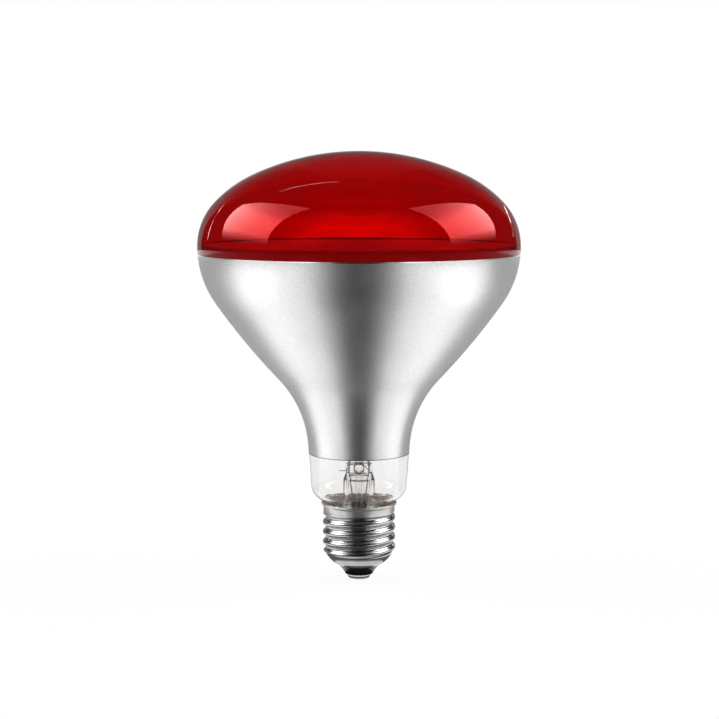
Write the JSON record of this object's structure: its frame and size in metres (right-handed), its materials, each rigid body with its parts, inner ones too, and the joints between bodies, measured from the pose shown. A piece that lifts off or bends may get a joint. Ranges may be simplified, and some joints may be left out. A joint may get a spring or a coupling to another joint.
{
  "type": "infrared heat lamp bulb",
  "caption": "Reflector heat lamp with a red domed face, a silvered bowl tapering to a clear neck, a glass stem with lead wires and coiled filament, and an Edison screw cap.",
  "frame": {"origin": "on the lamp's axis at the flat tip of the centre contact's solder", "axes": "+Z along the lamp's axis from the screw cap to the crown of the red face; X across the flat of the stem's press; -Y towards the picture's viewer"},
  "size_m": [0.115, 0.115, 0.1545],
  "materials": {
    "clear_glass": "clear blown glass, bare at the neck",
    "red_lacquer": "glossy see-through ruby red",
    "satin_silver": "satin silver with a fine grain",
    "stem_glass": "clear drawn and pressed glass",
    "copper_clad_wire": "copper clad wire, dull red where it is sealed in glass",
    "nickel_wire": "drawn nickel wire",
    "lead_wire": "thin plated copper wire",
    "tungsten": "coiled grey tungsten wire",
    "hook_wire": "molybdenum wire",
    "nickel_plated_brass": "bright nickel plate with light rolling marks",
    "black_glass": "glossy black insulating glass",
    "contact_brass": "nickel washed brass eyelet",
    "solder": "soft grey solder, smooth and rounded",
    "tan_cement": "matt tan basing cement"
  },
  "bodies": {
    "root": {"glass_bulb": "clear_glass", "red_face_coating": "red_lacquer", "reflector_coating": "satin_silver", "stem_tube": "stem_glass", "exhaust_tube": "stem_glass", "arbor_rod": "stem_glass", "seal_wire_left": "copper_clad_wire", "seal_wire_right": "copper_clad_wire", "inner_lead_left": "nickel_wire", "inner_lead_right": "nickel_wire", "outer_lead_centre": "lead_wire", "outer_lead_side": "lead_wire", "filament": "tungsten", "filament_clamp_left": "nickel_wire", "filament_clamp_right": "nickel_wire", "support_hook_left": "hook_wire", "support_hook_centre": "hook_wire", "support_hook_right": "hook_wire", "stem_tie_wire": "nickel_wire", "cap_screw_shell": "nickel_plated_brass", "cap_insulator": "black_glass", "centre_contact": "contact_brass", "contact_solder": "solder", "side_solder": "solder", "basing_cement": "tan_cement"}
  },
  "joints": []
}
